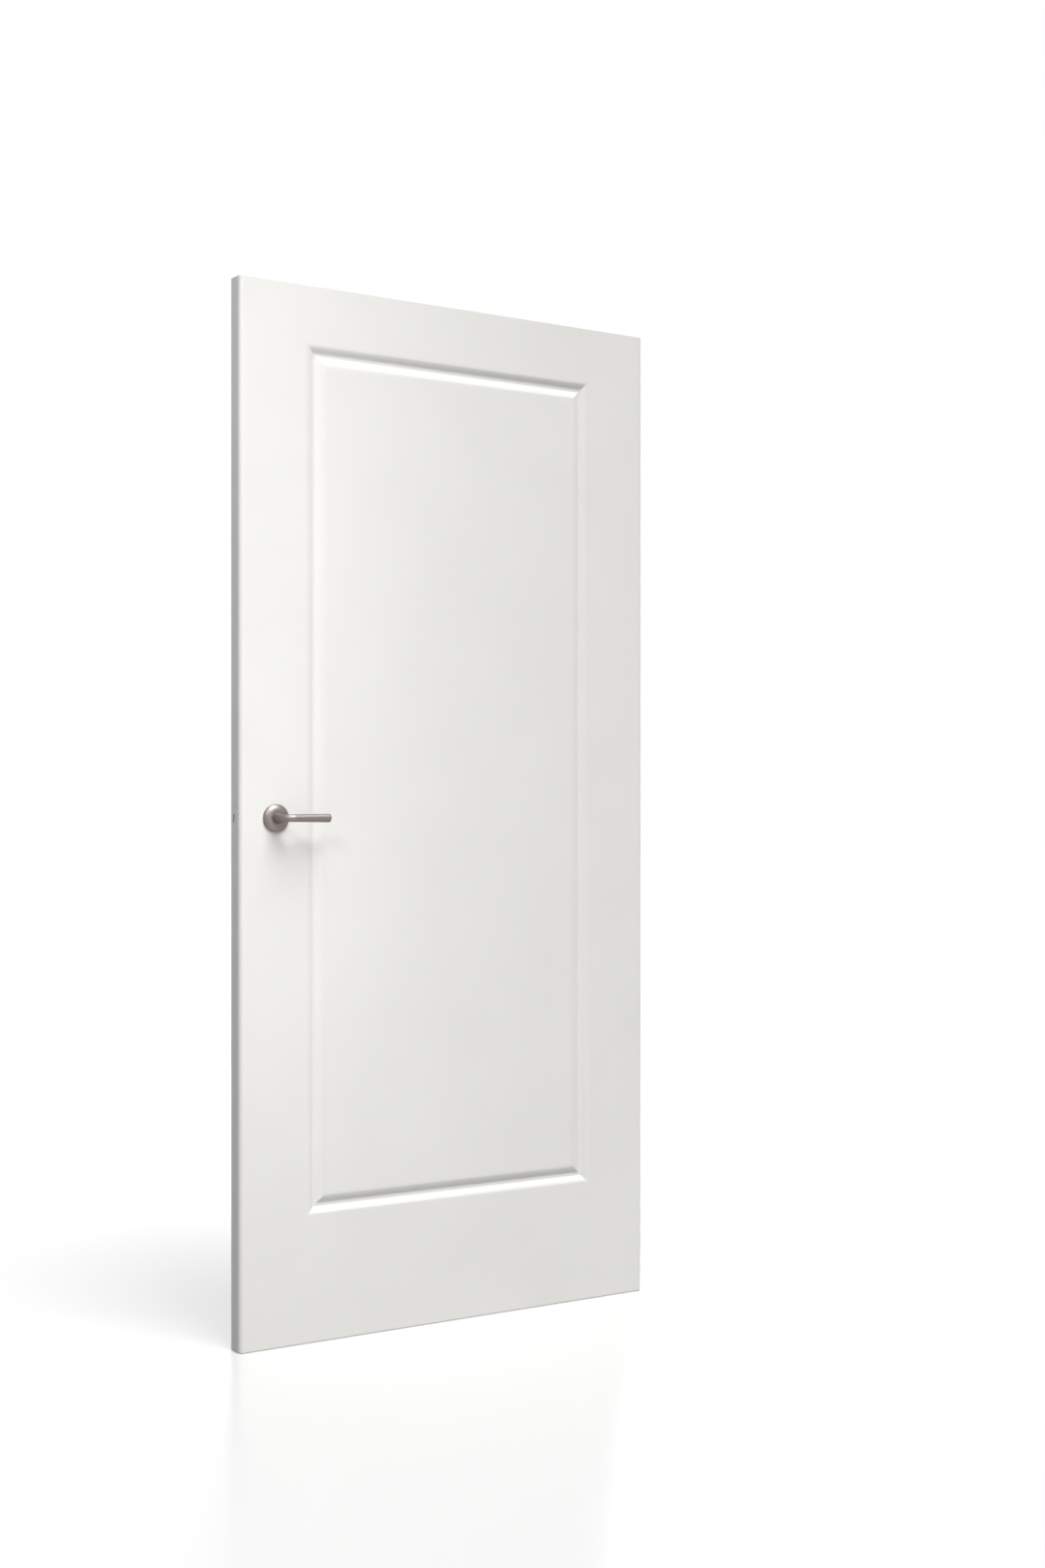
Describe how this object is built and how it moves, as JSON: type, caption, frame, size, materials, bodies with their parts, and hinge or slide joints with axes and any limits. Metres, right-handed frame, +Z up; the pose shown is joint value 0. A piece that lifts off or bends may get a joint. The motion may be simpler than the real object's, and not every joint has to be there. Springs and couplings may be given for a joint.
{
  "type": "interior door",
  "caption": "Moulded panel interior door leaf in satin white, with lever handles on round roses, a flush tubular latch and butt hinges that let it swing.",
  "frame": {"origin": "on the flat back of the bottom hinge's frame side plate, at the hinge's middle height and in the middle plane of the closed leaf", "axes": "+Z up, +X out of the hinge edge into the jamb, -Y out of the front face that the picture shows"},
  "size_m": [0.9215, 0.1492, 1.981],
  "materials": {
    "white_lacquer": "satin lacquer",
    "softwood": "sawn",
    "satin_nickel": "satin",
    "steel": "satin"
  },
  "bodies": {
    "frame_hinges": {"bottom_hinge_frame_leaf": "steel", "bottom_hinge_pin": "steel", "middle_hinge_frame_leaf": "steel", "middle_hinge_pin": "steel", "top_hinge_frame_leaf": "steel", "top_hinge_pin": "steel"},
    "leaf": {"front_skin": "white_lacquer", "back_skin": "white_lacquer", "lock_stile": "white_lacquer", "hinge_stile": "white_lacquer", "top_rail": "white_lacquer", "bottom_rail": "white_lacquer", "lock_block": "softwood", "latch_tube": "steel", "latch_face_plate": "satin_nickel", "front_rose": "satin_nickel", "back_rose": "satin_nickel", "bottom_hinge_door_leaf": "steel", "middle_hinge_door_leaf": "steel", "top_hinge_door_leaf": "steel"},
    "levers": {"front_lever": "satin_nickel", "back_lever": "satin_nickel", "spindle": "steel"},
    "latch": {"latch_bolt": "satin_nickel"}
  },
  "joints": [
    {"name": "door_swing", "type": "hinge", "parent": "frame_hinges", "child": "leaf", "pos_m": [-0.0045, 0.027, 0.752], "axis": [0, 0, -1], "range_deg": [0, 110]},
    {"name": "lever_turn", "type": "hinge", "parent": "leaf", "child": "levers", "pos_m": [-0.847, 0, 0.707], "axis": [0, 1, 0], "range_deg": [0, 40], "stiffness_Nm_per_rad": 1.5, "springref_deg": -22.92},
    {"name": "latch_slide", "type": "slide", "parent": "leaf", "child": "latch", "axis": [-1, 0, 0], "range_m": [0, 0.011], "stiffness_N_per_m": 40}
  ]
}
